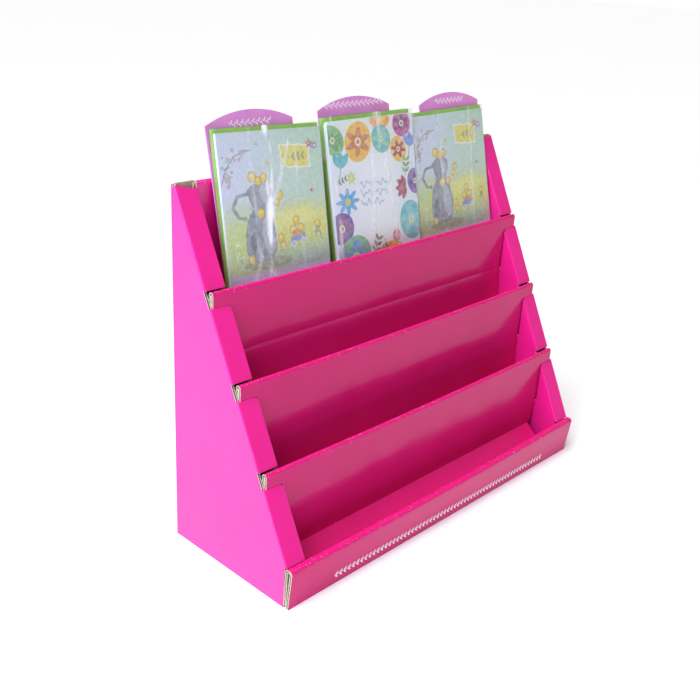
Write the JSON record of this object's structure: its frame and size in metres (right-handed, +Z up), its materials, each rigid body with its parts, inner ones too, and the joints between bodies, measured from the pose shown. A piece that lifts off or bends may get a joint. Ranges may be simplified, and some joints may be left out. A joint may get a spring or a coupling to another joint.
{
  "type": "countertop greeting card display",
  "caption": "Folded corrugated board counter display with hollow sides, sloping front, stepped full-width pockets and sleeved card packs with arched category tabs.",
  "frame": {"origin": "on the counter, under the middle of the base", "axes": "+X to the right across the pockets, +Y to the back, +Z up"},
  "size_m": [0.46, 0.1742, 0.4151],
  "materials": {
    "printed_board": "glossy pink print on corrugated board, raw cream edges",
    "card_print": "satin printed card",
    "envelope_paper": "matt lime paper",
    "sleeve_film": "clear glossy film",
    "tab_card": "satin mauve print on card"
  },
  "bodies": {
    "shell": {"back_liner": "printed_board", "back_panel": "printed_board", "back_top_fold": "printed_board", "base_panel": "printed_board", "left_inner_side": "printed_board", "left_outer_side": "printed_board", "left_strip_1": "printed_board", "left_strip_2": "printed_board", "left_strip_3": "printed_board", "left_strip_4": "printed_board", "lip_back": "printed_board", "lip_front": "printed_board", "lip_top_fold": "printed_board", "right_inner_side": "printed_board", "right_outer_side": "printed_board", "right_strip_1": "printed_board", "right_strip_2": "printed_board", "right_strip_3": "printed_board", "right_strip_4": "printed_board", "top_shelf": "printed_board"},
    "pack_1": {"pack_1_cards": "card_print", "pack_1_envelopes": "envelope_paper", "pack_1_sleeve": "sleeve_film"},
    "pack_2": {"pack_2_cards": "card_print", "pack_2_envelopes": "envelope_paper", "pack_2_sleeve": "sleeve_film"},
    "pack_3": {"pack_3_cards": "card_print", "pack_3_envelopes": "envelope_paper", "pack_3_sleeve": "sleeve_film"},
    "tab_1": {"tab_1": "tab_card"},
    "tab_2": {"tab_2": "tab_card"},
    "tab_3": {"tab_3": "tab_card"},
    "tier_1": {"tier_1_flap": "printed_board", "tier_1_front": "printed_board", "tier_1_shelf": "printed_board", "tier_1_top_fold": "printed_board"},
    "tier_2": {"tier_2_flap": "printed_board", "tier_2_front": "printed_board", "tier_2_shelf": "printed_board", "tier_2_top_fold": "printed_board"},
    "tier_3": {"tier_3_flap": "printed_board", "tier_3_front": "printed_board", "tier_3_shelf": "printed_board", "tier_3_top_fold": "printed_board"}
  },
  "joints": [
    {"name": "tier_1_lift", "type": "slide", "parent": "shell", "child": "tier_1", "axis": [0, 0, 1], "range_m": [0, 0.12]},
    {"name": "tier_2_lift", "type": "slide", "parent": "shell", "child": "tier_2", "axis": [0, 0, 1], "range_m": [0, 0.12]},
    {"name": "tier_3_lift", "type": "slide", "parent": "shell", "child": "tier_3", "axis": [0, 0, 1], "range_m": [0, 0.12]},
    {"name": "pack_1_lift", "type": "slide", "parent": "shell", "child": "pack_1", "axis": [0, 0.218, 0.9759], "range_m": [0, 0.16]},
    {"name": "tab_1_lift", "type": "slide", "parent": "shell", "child": "tab_1", "axis": [0, 0.218, 0.9759], "range_m": [0, 0.16]},
    {"name": "pack_2_lift", "type": "slide", "parent": "shell", "child": "pack_2", "axis": [0, 0.2052, 0.9787], "range_m": [0, 0.16]},
    {"name": "tab_2_lift", "type": "slide", "parent": "shell", "child": "tab_2", "axis": [0, 0.2052, 0.9787], "range_m": [0, 0.16]},
    {"name": "pack_3_lift", "type": "slide", "parent": "shell", "child": "pack_3", "axis": [0, 0.2322, 0.9727], "range_m": [0, 0.16]},
    {"name": "tab_3_lift", "type": "slide", "parent": "shell", "child": "tab_3", "axis": [0, 0.2322, 0.9727], "range_m": [0, 0.16]}
  ]
}
